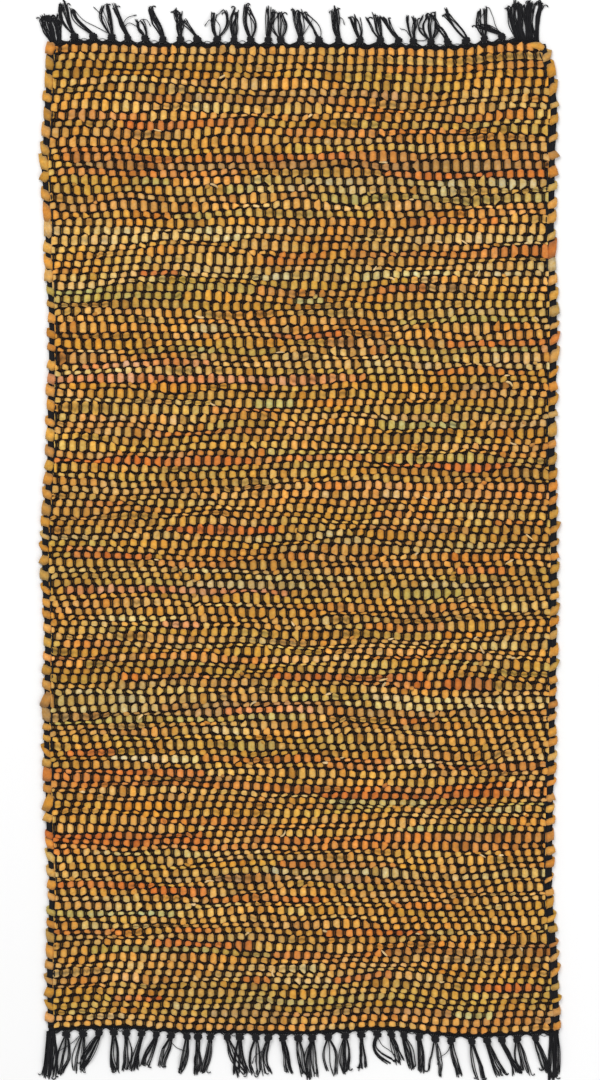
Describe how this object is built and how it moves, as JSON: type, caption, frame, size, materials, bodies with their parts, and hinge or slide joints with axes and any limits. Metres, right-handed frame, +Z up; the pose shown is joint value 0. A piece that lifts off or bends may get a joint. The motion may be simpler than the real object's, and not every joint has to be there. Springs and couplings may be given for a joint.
{
  "type": "leather rug",
  "caption": "Flat rug hand-woven from multicoloured leather strips on black cotton warp threads, with a black heading and a knotted cotton fringe at each end.",
  "frame": {"origin": "middle of the rug's underside, on the floor that it lies on", "axes": "+Z up, +Y along the rug's length towards the shorter fringe, +X across it to the right as in the picture"},
  "size_m": [0.7109, 1.4727, 0.0072],
  "materials": {
    "leather": "matte suede-like strips, ochre to orange",
    "cotton": "matte black cotton yarn"
  },
  "bodies": {
    "root": {"leather_field": "leather", "fringe_top": "cotton", "fringe_bottom": "cotton"}
  },
  "joints": []
}
